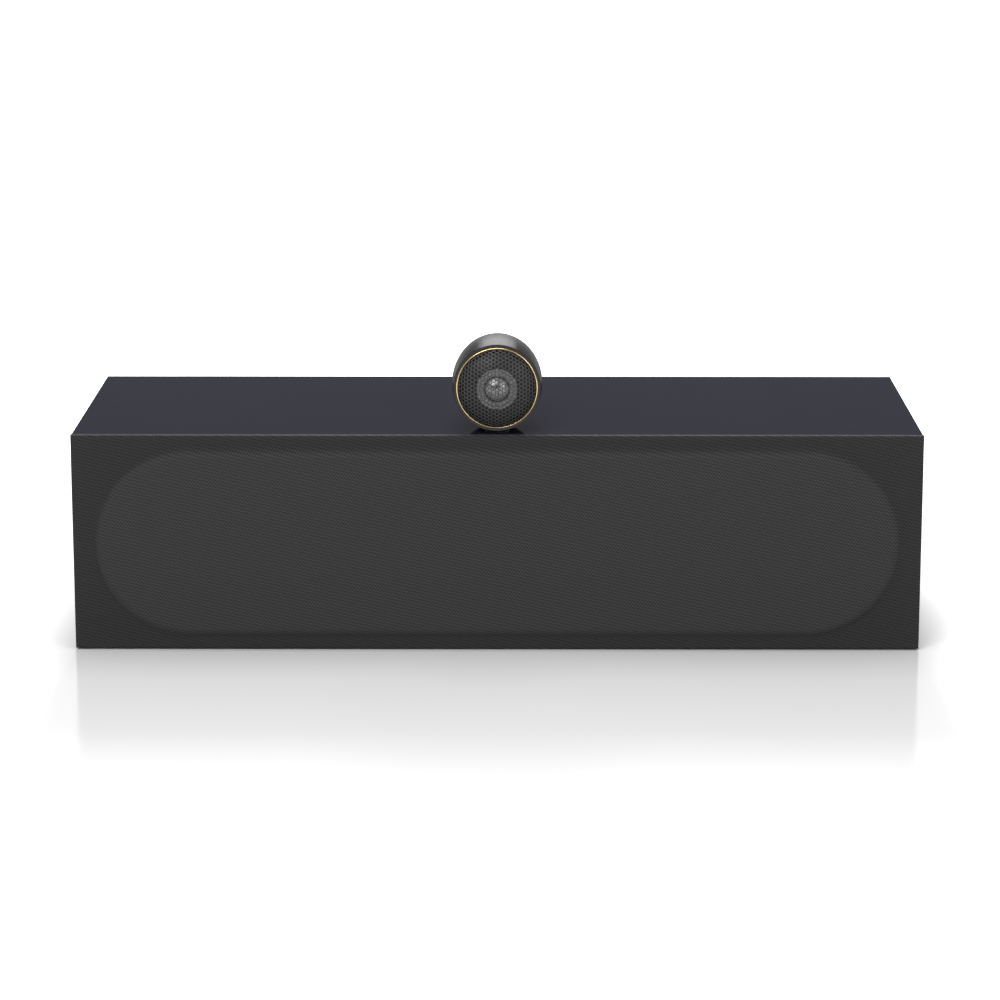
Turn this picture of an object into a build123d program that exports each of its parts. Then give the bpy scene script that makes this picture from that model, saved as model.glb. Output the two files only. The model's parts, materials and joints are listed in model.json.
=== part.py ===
from build123d import *

import os
from dataclasses import dataclass
from math import cos, hypot, radians, sin, sqrt, tan

# Centre channel loudspeaker: a wide lacquered cabinet with a full-front cloth grille, two bass units,
# one midrange unit, and a bullet-shaped tweeter pod standing on the cabinet's top.
# Millimetres. +Z is up, -Y is forward, and the origin is on the floor under the middle of the object.

# Cabinet
cabinet_width = 850.0
cabinet_height = 219.0
cabinet_depth = 310.0
panel_thickness = 18.0
baffle_thickness = 22.0
cabinet_edge_radius = 1.5
pad_height = 1.5
pad_radius = 10.0
pad_inset = 45.0
partition_thickness = 15.0
partition_spacing = 200.0
brace_window_margin = 38.0
brace_window_radius = 24.0
mid_chamber_depth = 110.0
mid_back_thickness = 12.0
damping_thickness = 25.0
damping_margin = 14.0

# Grille
grille_depth = 15.0
plateau_rise = 7.0
plateau_margin_x = 21.5
plateau_margin_z = 14.0
plateau_slope = 42.0
plateau_rim_radius = 3.0
plateau_foot_radius = 7.0
grille_edge_radius = 2.0
cloth_thickness = 1.0
frame_land = 9.0
frame_bar_width = 12.0
frame_bar_depth = 6.0
frame_bar_spacing = 296.0
magnet_radius = 5.0
magnet_thickness = 3.0
magnet_inset_x = 33.0
magnet_inset_z = 33.5

# Fits
seat_gap = 0.2
running_gap = 0.35
thread_gap = 0.15

# Bass ports, one behind each bass unit
port_bore_radius = 30.0
port_wall = 3.0
port_length = 130.0
port_flare = 14.0
port_flange_width = 8.0
port_flange_thickness = 3.0

# Terminal cup and binding posts
cup_width = 104.0
cup_height = 64.0
cup_depth = 36.0
cup_wall = 3.0
cup_corner_radius = 8.0
cup_flange_width = 11.0
cup_flange_thickness = 3.0
post_spacing = 38.0
post_radius = 3.0
post_length = 28.5
post_collar_radius = 7.0
post_collar_height = 4.0
post_tail_length = 14.0
socket_radius = 2.0
socket_depth = 18.0
washer_radius = 6.8
washer_thickness = 1.5
knob_radius = 7.8
knob_length = 16.0
knob_flutes = 12
knob_flute_radius = 1.1

# Crossover
board_width = 168.0
board_margin = 16.5
board_thickness = 1.6
standoff_height = 8.0
standoff_radius = 4.0
standoff_inset = 9.0
coil_outer_radius = 21.0
coil_inner_radius = 9.0
coil_height = 17.0
capacitor_radius = 10.5
capacitor_length = 44.0

# Screws
screw_head_radius = 3.6
screw_head_height = 2.0
screw_shank_radius = 1.9
screw_length = 16.0

# Tweeter pod, measured along its own axis, which is level and runs from front to back
pod_axis_height = 47.0
pod_setback = 8.7
pod_lip_radius = 43.6
pod_radius = 45.1
pod_widest = 43.0
pod_length = 198.0
pod_tail_radius = 7.0
pod_wall = 6.0
pod_cavity_depth = 58.0
bezel_width = 4.2
bezel_depth = 3.0
trim_width = 1.7
trim_depth = 2.6
mesh_rise = 15.0
mesh_thickness = 0.8
mesh_pitch = 6.25
mesh_hole = 4.7
mesh_rim_width = 2.6
foot_width = 24.0
foot_length = 74.0
foot_pad_thickness = 0.8
mount_bolt_radius = 4.0
mount_bolt_reach = 9.0
mount_bolt_head_radius = 9.0
mount_bolt_head_height = 5.0

# Tweeter drive unit
dome_radius = 12.7
dome_height = 5.6
dome_thickness = 0.5
dome_forward = 6.5
dome_excursion = 0.5
tweeter_seat_width = 4.8
tweeter_land_width = 2.6
faceplate_boss_radius = 23.0
faceplate_thickness = 4.0
tweeter_coil_wall = 0.6
tweeter_coil_length = 9.0
tweeter_plate_radius = 24.0
tweeter_plate_thickness = 3.0
tweeter_magnet_thickness = 7.0
tweeter_back_thickness = 4.0
tweeter_tube_radius = 7.0
tweeter_tube_wall = 1.5
tweeter_tube_length = 24.0


@dataclass
class DriveUnit:
    """Sizes of one cone drive unit, along its own axis, with the baffle's front face at zero."""

    flange_radius: float
    flange_thickness: float
    ring_thickness: float
    cutout_radius: float
    seat_radius: float
    cone_radius: float
    cone_depth: float
    cone_thickness: float
    coil_radius: float
    coil_wall: float
    coil_below: float
    basket_depth: float
    basket_wall: float
    plate_radius: float
    plate_thickness: float
    magnet_radius: float
    magnet_thickness: float
    back_thickness: float
    window_count: int
    excursion: float


bass_inset = 135.0
flange_margin = 3.5
bass_flange_width = 11.0
bass_lip_width = 7.0
bass_roll_width = 10.0
mid_flange_step = 10.0
mid_flange_width = 10.0
mid_lip_width = 6.0
mid_roll_width = 4.0
bass_flange = (cabinet_height - 2 * panel_thickness) / 2 - flange_margin
bass_cutout = bass_flange - bass_flange_width
bass_seat = bass_cutout - bass_lip_width
mid_flange = bass_flange - mid_flange_step
mid_cutout = mid_flange - mid_flange_width
mid_seat = mid_cutout - mid_lip_width
bass = DriveUnit(
    flange_radius=bass_flange, flange_thickness=5.0, ring_thickness=2.0, cutout_radius=bass_cutout,
    seat_radius=bass_seat, cone_radius=bass_seat - bass_roll_width,
    cone_depth=20.0, cone_thickness=2.0, coil_radius=19.0, coil_wall=1.0, coil_below=6.0,
    basket_depth=58.0, basket_wall=3.0, plate_radius=50.0, plate_thickness=6.0, magnet_radius=54.0,
    magnet_thickness=18.0, back_thickness=6.0, window_count=6, excursion=5.0,
)
midrange = DriveUnit(
    flange_radius=mid_flange, flange_thickness=5.0, ring_thickness=2.0, cutout_radius=mid_cutout,
    seat_radius=mid_seat, cone_radius=mid_seat - mid_roll_width,
    cone_depth=26.0, cone_thickness=1.2, coil_radius=16.0, coil_wall=1.0, coil_below=3.0,
    basket_depth=50.0, basket_wall=3.0, plate_radius=42.0, plate_thickness=5.0, magnet_radius=45.0,
    magnet_thickness=14.0, back_thickness=5.0, window_count=6, excursion=1.5,
)
surround_thickness = 0.8
surround_lip = 2.0
spider_waves = 4
spider_wave_height = 1.6
spider_thickness = 0.6
ledge_width = 8.0
ledge_height = 8.0
basket_floor = 4.0
pole_vent_radius = 6.0
plug_radius = 11.0
plug_rise = 20.0
driver_screw_count = 6

# Places that follow from the sizes
overall_depth = cabinet_depth + grille_depth
back_plane = overall_depth / 2
baffle_plane = back_plane - cabinet_depth
front_plane = -overall_depth / 2
cabinet_floor = pad_height
cabinet_top = cabinet_floor + cabinet_height
mid_height = cabinet_floor + cabinet_height / 2
inner_width = cabinet_width - 2 * panel_thickness
inner_height = cabinet_height - 2 * panel_thickness
inner_front = baffle_plane + baffle_thickness
inner_back = back_plane - panel_thickness
inner_depth = inner_back - inner_front
margin_depth = grille_depth - plateau_rise
plateau_width = cabinet_width - 2 * plateau_margin_x
plateau_height = cabinet_height - 2 * plateau_margin_z
magnet_spacing_x = cabinet_width - 2 * magnet_inset_x
magnet_spacing_z = cabinet_height - 2 * magnet_inset_z
bass_spacing = cabinet_width - 2 * bass_inset
board_height = inner_height - 2 * board_margin
brace_spacing = (partition_spacing + partition_thickness + bass_spacing) / 2 - bass_cutout
pod_axis_z = cabinet_top + pod_axis_height
pod_front = front_plane + plateau_rise + pod_setback

FORWARD = dict(x_dir=(1, 0, 0), z_dir=(0, -1, 0))
BACKWARD = dict(x_dir=(-1, 0, 0), z_dir=(0, 1, 0))
BOTTOM = (Align.CENTER, Align.CENTER, Align.MIN)
overcut = 1.0


def on_baffle(x=0.0):
    """Where a drive unit at x sits: its axis points forward and its zero is the baffle's front face."""
    return Plane(origin=(x, baffle_plane, mid_height), **FORWARD).location


def on_back(x=0.0, z=mid_height):
    """A place on the back of the cabinet, with its axis pointing backward."""
    return Plane(origin=(x, back_plane, z), **BACKWARD).location


def on_pod():
    """The tweeter pod's axis, pointing forward, with zero at the plane of its trim ring."""
    return Plane(origin=(0, pod_front, pod_axis_z), **FORWARD).location


def disc(radius, low, high):
    """A plain round disc from low to high along its axis."""
    return Pos(0, 0, low) * Cylinder(radius, high - low, align=BOTTOM)


def ring(inner, outer, low, high):
    """A plain round ring from low to high along its axis."""
    return disc(outer, low, high) - disc(inner, low - overcut, high + overcut)


def turned(*edges):
    """A solid of revolution from a closed outline of (radius, height) edges."""
    return revolve(Plane.XZ * make_face(Curve() + list(edges)), Axis.Z)


def turned_outline(points):
    """A solid of revolution from a closed outline of (radius, height) points."""
    return turned(Polyline(*points, close=True))


def slab(width, height, low, high):
    """A rectangular slab from low to high along its axis."""
    return Pos(0, 0, low) * Box(width, height, high - low, align=BOTTOM)


def panel(x_range, y_range, z_range):
    """A board given by its lowest and highest place along each axis."""
    size = [high - low for low, high in (x_range, y_range, z_range)]
    middle = [(high + low) / 2 for low, high in (x_range, y_range, z_range)]
    return Pos(*middle) * Box(*size)


def both_sides(spacing):
    """The two places along X that are this far apart about the middle."""
    return (-spacing / 2, spacing / 2)


def four_corners(spacing_x, spacing_z):
    """The four corners of a rectangle about the middle, as (x, z) offsets."""
    return [(x, z) for x in both_sides(spacing_x) for z in both_sides(spacing_z)]


# Cabinet


def cabinet_wrap():
    """Top, bottom and sides, mitred and bonded into one lacquered sleeve, with the tweeter's fixing hole."""
    span_y = (baffle_plane, back_plane)
    sleeve = panel((-cabinet_width / 2, cabinet_width / 2), span_y, (cabinet_floor, cabinet_top))
    sleeve = fillet(sleeve.edges().filter_by(Axis.Y), cabinet_edge_radius)
    sleeve -= panel(
        (-inner_width / 2, inner_width / 2),
        (span_y[0] - overcut, span_y[1] + overcut),
        (cabinet_floor + panel_thickness, cabinet_top - panel_thickness),
    )
    bolt_hole = disc(mount_bolt_radius + running_gap, -panel_thickness - overcut, overcut)
    return sleeve - Pos(0, pod_foot_y(), cabinet_top) * bolt_hole


def front_baffle():
    """The front board, with a stepped hole for each drive unit and a pocket for each grille magnet."""
    board = on_baffle() * slab(inner_width, inner_height, -baffle_thickness, 0)
    for x, unit in drive_units():
        board -= on_baffle(x) * (
            disc(unit.cutout_radius, -baffle_thickness - overcut, overcut)
            + disc(unit.flange_radius + seat_gap, -unit.ring_thickness - unit.flange_thickness, overcut)
        )
        board -= [on_baffle(x) * screw for screw in driver_screw_set(unit)]
    for x, z in four_corners(magnet_spacing_x, magnet_spacing_z):
        board -= on_baffle() * Pos(x, z, 0) * disc(magnet_radius, -magnet_thickness, overcut)
    return board


def rear_panel():
    """The back board, with the port holes and the terminal cup's stepped opening."""
    board = on_back() * slab(inner_width, inner_height, -panel_thickness, 0)
    for x in both_sides(bass_spacing):
        board -= on_back(x) * (
            disc(port_mouth_radius() + seat_gap, -panel_thickness - overcut, overcut)
            + disc(port_mouth_radius() + port_flange_width + seat_gap, -port_flange_thickness, overcut)
        )
    flange = 2 * (cup_flange_width + seat_gap)
    board -= on_back() * (
        slab(cup_width + 2 * seat_gap, cup_height + 2 * seat_gap, -panel_thickness - overcut, overcut)
        + slab(cup_width + flange, cup_height + flange, -cup_flange_thickness, overcut)
    )
    return board - terminal_screws()


def partitions():
    """The two upright boards that close the midrange chamber off from the bass chambers."""
    half = partition_thickness / 2
    height = (cabinet_floor + panel_thickness, cabinet_top - panel_thickness)
    return [panel((x - half, x + half), (inner_front, inner_back), height) for x in both_sides(partition_spacing)]


def braces():
    """The two upright braces inside the bass chambers, each with a rounded window."""
    boards = []
    for x in both_sides(brace_spacing):
        half = partition_thickness / 2
        height = (cabinet_floor + panel_thickness, cabinet_top - panel_thickness)
        board = panel((x - half, x + half), (inner_front, inner_back), height)
        window = Box(
            2 * partition_thickness, inner_depth - 2 * brace_window_margin, inner_height - 2 * brace_window_margin
        )
        window = fillet(window.edges().filter_by(Axis.X), brace_window_radius)
        boards.append(board - Pos(x, (inner_front + inner_back) / 2, mid_height) * window)
    return boards


def mid_chamber_back():
    """The board behind the midrange unit, which carries the crossover on its other face."""
    half = partition_spacing / 2 - partition_thickness / 2
    low = inner_front + mid_chamber_depth
    height = (cabinet_floor + panel_thickness, cabinet_top - panel_thickness)
    return panel((-half, half), (low, low + mid_back_thickness), height)


def foot_pads():
    """Four thin rubber pads under the cabinet."""
    places = four_corners(cabinet_width - 2 * pad_inset, cabinet_depth - 2 * pad_inset)
    middle = (baffle_plane + back_plane) / 2
    return [Pos(x, middle + y, 0) * disc(pad_radius, 0, pad_height) for x, y in places]


def damping_pads():
    """A foam sheet on the inside of each end of the cabinet."""
    y_range = (inner_front + damping_margin, inner_back - damping_margin)
    z_range = (
        cabinet_floor + panel_thickness + damping_margin,
        cabinet_top - panel_thickness - damping_margin,
    )
    end = inner_width / 2 - seat_gap
    low_end = panel((-end, -end + damping_thickness), y_range, z_range)
    high_end = panel((end - damping_thickness, end), y_range, z_range)
    return [low_end, high_end]


# Grille


def grille_form(inset, back):
    """The grille's outer form, pulled in by inset on every face: a flat margin with a raised obround field."""
    margin = slab(cabinet_width - 2 * inset, cabinet_height - 2 * inset, back, margin_depth - inset)
    margin = fillet(margin.edges().filter_by(Axis.Z), grille_edge_radius)
    margin = fillet(margin.faces().sort_by(Axis.Z)[-1].edges(), grille_edge_radius)
    slope = radians(plateau_slope)
    shift = 2 * inset * (1 - sin(slope)) / cos(slope)
    outline = SlotOverall(plateau_width - shift, plateau_height - shift)
    field = Pos(0, 0, margin_depth - inset) * extrude(outline, plateau_rise, taper=plateau_slope)
    field = fillet(field.faces().sort_by(Axis.Z)[-1].edges(), plateau_rim_radius)
    form = margin + field
    foot = [
        edge
        for edge in form.edges().filter_by_position(Axis.Z, margin_depth - inset, margin_depth - inset)
        if max(edge.bounding_box().max.X, -edge.bounding_box().min.X) < plateau_width / 2
        and max(edge.bounding_box().max.Y, -edge.bounding_box().min.Y) < (plateau_height + cabinet_height) / 4
    ]
    return fillet(foot, plateau_foot_radius)


def grille_cloth():
    """The cloth skin, drawn tight over the frame and wrapped round its edges."""
    return on_baffle() * (grille_form(0, seat_gap) - grille_form(cloth_thickness, -overcut))


def grille_frame():
    """The moulded frame under the cloth: an obround window crossed by two bars, with a magnet at each corner."""
    frame = grille_form(cloth_thickness, seat_gap)
    reach = 2 * (plateau_rise * tan(radians(plateau_slope)) + frame_land)
    window = extrude(SlotOverall(plateau_width - reach, plateau_height - reach), grille_depth + overcut)
    frame -= window
    for x in both_sides(frame_bar_spacing):
        frame += Pos(x, 0, 0) * slab(frame_bar_width, plateau_height - reach, seat_gap, frame_bar_depth)
    for x, z in four_corners(magnet_spacing_x, magnet_spacing_z):
        frame -= Pos(x, z, 0) * disc(magnet_radius, 0, seat_gap + magnet_thickness)
    return on_baffle() * frame


def corner_magnets(low, high):
    """Four disc magnets, one near each corner of the baffle."""
    places = four_corners(magnet_spacing_x, magnet_spacing_z)
    return [on_baffle() * Pos(x, z, 0) * disc(magnet_radius, low, high) for x, z in places]


# Cone drive units


def drive_units():
    """Each cone drive unit with its place along X."""
    left, right = both_sides(bass_spacing)
    return [(left, bass), (right, bass), (0.0, midrange)]


def hub_radius(unit):
    """The hole through the top plate and the basket's floor, just clear of the coil."""
    return unit.coil_radius + unit.coil_wall + running_gap


def top_of_plate(unit):
    return -unit.basket_depth


def basket(unit):
    """The cast basket: flange, sloping wall with windows, and a floor with a step for the spider."""
    top = -unit.ring_thickness
    under = top - unit.flange_thickness
    floor = -unit.basket_depth
    wall_top = unit.cutout_radius - seat_gap
    ledge = floor + basket_floor + ledge_height
    shell = turned_outline([
        (unit.seat_radius, top), (unit.flange_radius, top), (unit.flange_radius, under), (wall_top, under),
        (unit.plate_radius, floor), (hub_radius(unit), floor), (hub_radius(unit), floor + basket_floor),
        (unit.plate_radius - ledge_width, floor + basket_floor), (unit.plate_radius - ledge_width, ledge),
        (unit.plate_radius, ledge), (wall_top - unit.basket_wall, under), (unit.seat_radius, under),
    ])
    window_height = (under - ledge) * 0.62
    window_width = unit.plate_radius * 0.8
    middle = (under + ledge) / 2
    window = Pos(unit.cutout_radius, 0, middle) * Box(2 * unit.basket_wall + 40, window_width, window_height)
    for turn in range(unit.window_count):
        shell -= Rot(0, 0, 360 / unit.window_count * (turn + 0.5)) * window
    return shell - driver_screw_set(unit)


def screw_place(unit, turn):
    """One of the fixing screws, midway across the part of the flange that bears on the baffle."""
    angle = 360 / driver_screw_count * turn
    return Rot(0, 0, angle) * Pos((unit.cutout_radius + unit.flange_radius) / 2, 0, 0)


def trim_ring(unit):
    """The ring that covers the flange and its screws, flush with the baffle."""
    inner = unit.seat_radius + surround_land(unit)
    return ring(inner + seat_gap, unit.flange_radius, -unit.ring_thickness, 0)


def surround_land(unit):
    return (unit.cutout_radius - unit.seat_radius) * 0.8


def surround(unit):
    """The half-roll edge between the cone and the basket's flange."""
    base = -unit.ring_thickness
    top = base + surround_thickness
    inner = unit.cone_radius
    roll = (unit.seat_radius - inner) / 2
    middle = inner + roll
    thin = roll - surround_thickness
    outer = unit.seat_radius + surround_land(unit)
    return turned(
        Line((inner - surround_lip, base), (inner - surround_lip, top)),
        Line((inner - surround_lip, top), (inner, top)),
        ThreePointArc((inner, top), (middle, top + roll), (unit.seat_radius, top)),
        Line((unit.seat_radius, top), (outer, top)),
        Line((outer, top), (outer, base)),
        Line((outer, base), (middle + thin, base)),
        ThreePointArc((middle + thin, base), (middle, base + roll), (middle - thin, base)),
        Line((middle - thin, base), (inner - surround_lip, base)),
    )


def cone_rim(unit):
    """The height of the cone's outer edge, just under the surround's inner lip."""
    return -unit.ring_thickness - seat_gap


def dish_sag(unit, radius):
    """How far the dish's front face lies above its lowest point, at this radius."""
    sphere = (unit.cone_radius**2 + unit.cone_depth**2) / (2 * unit.cone_depth)
    return sphere - sqrt(sphere**2 - radius**2)


def dish_cone(unit):
    """A one-piece concave diaphragm with no dust cap."""
    rim = cone_rim(unit)
    bottom = rim - unit.cone_depth
    half = unit.cone_radius / 2
    mid = (half, bottom + dish_sag(unit, half))
    drop = unit.cone_thickness
    return turned(
        Line((0, bottom), (0, bottom - drop)),
        ThreePointArc((0, bottom - drop), (mid[0], mid[1] - drop), (unit.cone_radius, rim - drop)),
        Line((unit.cone_radius, rim - drop), (unit.cone_radius, rim)),
        ThreePointArc((unit.cone_radius, rim), mid, (0, bottom)),
    )


def flared_cone(unit):
    """A cone with a gently flared profile and an open neck for the phase plug."""
    rim = cone_rim(unit)
    neck = rim - unit.cone_depth
    inner = unit.coil_radius - unit.coil_wall
    middle = ((inner + unit.cone_radius) / 2, rim - unit.cone_depth * 0.42)
    drop = unit.cone_thickness
    return turned(
        ThreePointArc((inner, neck), middle, (unit.cone_radius, rim)),
        Line((unit.cone_radius, rim), (unit.cone_radius, rim - drop)),
        ThreePointArc((unit.cone_radius, rim - drop), (middle[0], middle[1] - drop), (inner, neck - drop)),
        Line((inner, neck - drop), (inner, neck)),
    )


def voice_coil(unit, top):
    """The former and its winding, hung from the back of the cone into the magnet's gap."""
    inner = unit.coil_radius - unit.coil_wall / 2
    plate_top = top_of_plate(unit)
    bottom = plate_top - unit.plate_thickness - unit.coil_below
    former = ring(inner, unit.coil_radius, bottom, top)
    return former + ring(unit.coil_radius, unit.coil_radius + unit.coil_wall, bottom, plate_top)


def coil_top(unit, dished):
    """Where the former meets the back of the cone."""
    back = cone_rim(unit) - unit.cone_depth - unit.cone_thickness
    return (back + dish_sag(unit, unit.coil_radius - unit.coil_wall) if dished else back) - seat_gap


def spider(unit):
    """The corrugated disc that centres the coil, from the former out to the basket's step."""
    inner = unit.coil_radius + seat_gap
    outer = unit.plate_radius - seat_gap
    flat = ledge_width
    base = -unit.basket_depth + basket_floor + ledge_height
    wave = (outer - flat - inner) / (2 * spider_waves)
    rises = [(inner + wave * i, base + spider_wave_height * (i % 2)) for i in range(2 * spider_waves + 1)]
    lower = rises + [(outer, base)]
    upper = [(r, z + spider_thickness) for r, z in reversed(lower)]
    return turned_outline(lower + upper)


def top_plate(unit):
    top = top_of_plate(unit)
    return ring(hub_radius(unit), unit.plate_radius, top - unit.plate_thickness, top)


def magnet(unit):
    top = top_of_plate(unit) - unit.plate_thickness
    inner = (hub_radius(unit) + unit.plate_radius) / 2.4
    return ring(inner, unit.magnet_radius, top - unit.magnet_thickness, top)


def pole_yoke(unit):
    """The back plate and the pole that stands in the coil, drilled through for air."""
    top = top_of_plate(unit)
    base = top - unit.plate_thickness - unit.magnet_thickness
    pole_radius = unit.coil_radius - unit.coil_wall / 2 - running_gap
    yoke = disc(pole_radius, base, top) + disc(unit.plate_radius, base - unit.back_thickness, base)
    return yoke - disc(pole_vent_radius, base - unit.back_thickness - overcut, top + overcut)


def phase_plug(unit):
    """The bullet on the midrange pole, in the open neck of the cone, with a spigot in the pole's vent."""
    base = top_of_plate(unit)
    shoulder = cone_rim(unit) - unit.cone_depth
    return turned(
        Line((0, base - unit.plate_thickness), (pole_vent_radius, base - unit.plate_thickness)),
        Line((pole_vent_radius, base - unit.plate_thickness), (pole_vent_radius, base)),
        Line((pole_vent_radius, base), (plug_radius, base)),
        Line((plug_radius, base), (plug_radius, shoulder)),
        Spline((plug_radius, shoulder), (plug_radius * 0.74, shoulder + plug_rise * 0.62),
               (0, shoulder + plug_rise), tangents=[(0, 1), (-1, 0)]),
        Line((0, shoulder + plug_rise), (0, base - unit.plate_thickness)),
    )


def countersunk_screw(top, length):
    """A flat-headed wood screw with its head flush at top."""
    return turned_outline([
        (0, top), (screw_head_radius, top), (screw_shank_radius, top - screw_head_height),
        (screw_shank_radius, top - length), (0, top - length),
    ])


def driver_screw_set(unit):
    """The screws that hold one drive unit, hidden under its trim ring."""
    screw = countersunk_screw(-unit.ring_thickness, screw_length)
    return [screw_place(unit, turn) * screw for turn in range(driver_screw_count)]


def driver_screws():
    """The screws of all three cone drive units."""
    return [on_baffle(x) * screw for x, unit in drive_units() for screw in driver_screw_set(unit)]


# Ports


def port_mouth_radius():
    return port_bore_radius + port_flare


def port_tube(x):
    """A reflex tube, flared at both ends, with a flange let into the back of the cabinet."""
    inner_end = -port_length
    mouth, bore, flare = port_mouth_radius(), port_bore_radius, port_flare
    bend = flare * (1 - cos(radians(45)))
    skin = Curve() + [
        ThreePointArc((mouth, 0), (bore + bend, -bend), (bore, -flare)),
        Line((bore, -flare), (bore, inner_end + flare)),
        ThreePointArc((bore, inner_end + flare), (bore + bend, inner_end + bend), (mouth, inner_end)),
    ]
    outer = port_bore_radius + port_wall
    back_of_flange = -port_flange_thickness
    boss_end = -flare - port_wall
    tube = turned(
        *skin.edges(),
        Line((mouth, inner_end), (mouth + port_wall, inner_end)),
        ThreePointArc((mouth + port_wall, inner_end), (outer + bend, inner_end + bend),
                      (outer, inner_end + flare)),
        Line((outer, inner_end + flare), (outer, boss_end)),
        Line((outer, boss_end), (mouth, boss_end)),
        Line((mouth, boss_end), (mouth, back_of_flange)),
        Line((mouth, back_of_flange), (mouth + port_flange_width, back_of_flange)),
        Line((mouth + port_flange_width, back_of_flange), (mouth + port_flange_width, 0)),
        Line((mouth + port_flange_width, 0), (mouth, 0)),
    )
    return on_back(x) * tube


# Terminals


def cup_floor():
    """The height of the cup's inner floor, below the back of the cabinet."""
    return -cup_depth + cup_wall


def terminal_cup():
    """The moulded recess for the binding posts, with a flange let into the back of the cabinet."""
    well = slab(cup_width, cup_height, -cup_depth, 0)
    well = fillet(well.edges().filter_by(Axis.Z), cup_corner_radius)
    flange = slab(cup_width + 2 * cup_flange_width, cup_height + 2 * cup_flange_width, -cup_flange_thickness, 0)
    flange = fillet(flange.edges().filter_by(Axis.Z), cup_corner_radius)
    hollow = slab(cup_width - 2 * cup_wall, cup_height - 2 * cup_wall, cup_floor(), overcut)
    hollow = fillet(hollow.edges().filter_by(Axis.Z), cup_corner_radius - cup_wall)
    cup = well + flange - hollow
    for x in both_sides(post_spacing):
        cup -= Pos(x, 0, 0) * disc(post_radius, -cup_depth - overcut, overcut)
    return on_back() * cup - terminal_screws()


def cup_screw_places():
    return four_corners(cup_width + cup_flange_width, cup_height + cup_flange_width)


def terminal_screws():
    """The four screws in the corners of the terminal cup's flange."""
    screw = countersunk_screw(0, screw_length)
    return [on_back() * Pos(x, z, 0) * screw for x, z in cup_screw_places()]


def terminal_posts():
    """Two plated posts: a collar on the cup's floor, a stud with a plug socket, and a tail inside the cabinet."""
    floor = cup_floor()
    tip = floor + post_length
    post = disc(post_collar_radius, floor, floor + post_collar_height)
    post += disc(post_radius, floor - cup_wall - post_tail_length, tip)
    post -= disc(socket_radius, tip - socket_depth, tip + overcut)
    return [on_back() * Pos(x, 0, 0) * post for x in both_sides(post_spacing)]


def terminal_washer(x):
    """The captive washer that the knob presses down on a wire."""
    low = cup_floor() + post_collar_height
    return on_back() * Pos(x, 0, 0) * ring(post_radius + thread_gap, washer_radius, low, low + washer_thickness)


def terminal_knob(x):
    """The fluted knob that screws down the post."""
    low = cup_floor() + post_collar_height + washer_thickness
    high = low + knob_length
    knob = disc(knob_radius, low, high)
    knob = chamfer(knob.faces().sort_by(Axis.Z)[-1].edges(), knob_flute_radius)
    for turn in range(knob_flutes):
        flute = disc(knob_flute_radius, low + 2 * washer_thickness, high + overcut)
        knob -= Rot(0, 0, 360 / knob_flutes * turn) * Pos(knob_radius, 0, 0) * flute
    knob -= disc(post_radius + thread_gap, low - overcut, high + overcut)
    return on_back() * Pos(x, 0, 0) * knob


# Crossover


def board_front():
    """The face of the circuit board that its parts stand on."""
    return inner_front + mid_chamber_depth + mid_back_thickness + standoff_height + board_thickness


def on_board(x, z):
    return Plane(origin=(x, board_front(), mid_height + z), **BACKWARD).location


def crossover_board():
    half_width, half_height = board_width / 2, board_height / 2
    return panel(
        (-half_width, half_width),
        (board_front() - board_thickness, board_front()),
        (mid_height - half_height, mid_height + half_height),
    )


def board_standoffs():
    """The four pillars between the circuit board and the board behind the midrange unit."""
    places = four_corners(board_width - 2 * standoff_inset, board_height - 2 * standoff_inset)
    pillar = disc(standoff_radius, -board_thickness - standoff_height, -board_thickness)
    return [on_board(x, z) * pillar for x, z in places]


def crossover_coils():
    """Three air-cored inductors, two flat on the board."""
    places = [(-board_width / 4, board_height / 4), (board_width / 4, board_height / 4), (0.0, -board_height / 4)]
    return [on_board(x, z) * ring(coil_inner_radius, coil_outer_radius, 0, coil_height) for x, z in places]


def crossover_capacitors():
    """Four film capacitors lying on the board."""
    lying = Pos(0, 0, capacitor_radius) * Rot(90, 0, 0) * Cylinder(capacitor_radius, capacitor_length)
    across = board_width / 2 - 2 * capacitor_radius
    places = [(x * across, -board_height / 4) for x in (-1.0, -0.62, 0.62, 1.0)]
    return [on_board(x, z) * lying for x, z in places]


# Tweeter pod


def pod_foot_y():
    """The middle of the pod's foot, under the widest part of the pod."""
    return pod_front + pod_widest


def pod_outline(extra):
    """The pod's outer line from its front lip to its tail, as (radius, height) with forward up."""
    taper = pod_length - pod_widest
    tip = -pod_length - extra
    return Spline(
        (pod_lip_radius + extra, 0),
        (pod_radius + extra, -pod_widest),
        (pod_radius * 0.832 + extra, -pod_widest - taper * 0.37),
        (pod_radius * 0.545 + extra, -pod_widest - taper * 0.69),
        (pod_tail_radius + extra, tip + pod_tail_radius * 0.3),
        (0, tip),
        tangents=[(0.09, -1), (-1, 0)],
    )


def pod_solid(extra):
    """The whole pod as one lump, grown outward by extra."""
    lip = pod_lip_radius + extra
    return turned(
        pod_outline(extra), Line((0, -pod_length - extra), (0, 0)), Line((0, 0), (lip, 0))
    )


def pod_rim():
    """The inner edge of the bezel, where the trim ring and the mesh sit."""
    return pod_lip_radius - bezel_width


def tweeter_body():
    """The turned housing: a bullet that swells behind its lip and tapers to a small round tail."""
    cavity = pod_rim() - pod_wall / 2
    cavity_end = -pod_cavity_depth
    hollow = turned_outline([
        (0, cavity_end), (cavity - pod_wall, cavity_end), (cavity, cavity_end + pod_wall), (cavity, -bezel_depth),
        (bezel_outer(), -bezel_depth), (bezel_outer(), overcut), (0, overcut),
    ])
    return on_pod() * (pod_solid(0) - hollow) - tweeter_bolt()


def bezel_outer():
    """The outer edge of the bezel, inside the housing's thin lip."""
    return pod_lip_radius - bezel_width / 8


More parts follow.
